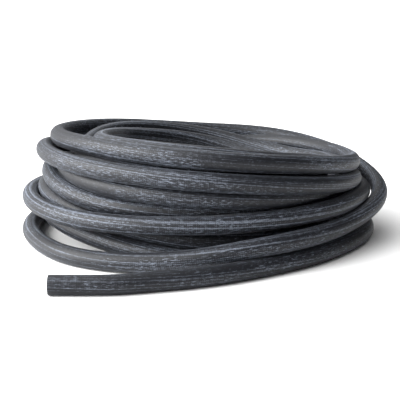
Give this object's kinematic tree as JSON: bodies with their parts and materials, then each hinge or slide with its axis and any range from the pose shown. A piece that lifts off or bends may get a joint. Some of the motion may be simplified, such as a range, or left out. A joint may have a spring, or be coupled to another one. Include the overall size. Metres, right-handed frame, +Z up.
{
  "type": "heater hose",
  "caption": "Length of plain black rubber heater hose lying as a loose coil, with one cut end leading out along the floor.",
  "frame": {"origin": "centre of the bottom of the coil's box, on the floor that the coil lies on", "axes": "+Z up, -X the way the cut end points, -Y the side of the coil where the cut end lies"},
  "size_m": [0.5254, 0.5884, 0.1564],
  "materials": {
    "rubber": "matte, dusty black extruded rubber"
  },
  "bodies": {
    "root": {"wound_turns": "rubber", "loose_turns": "rubber", "straight_end": "rubber"}
  },
  "joints": []
}
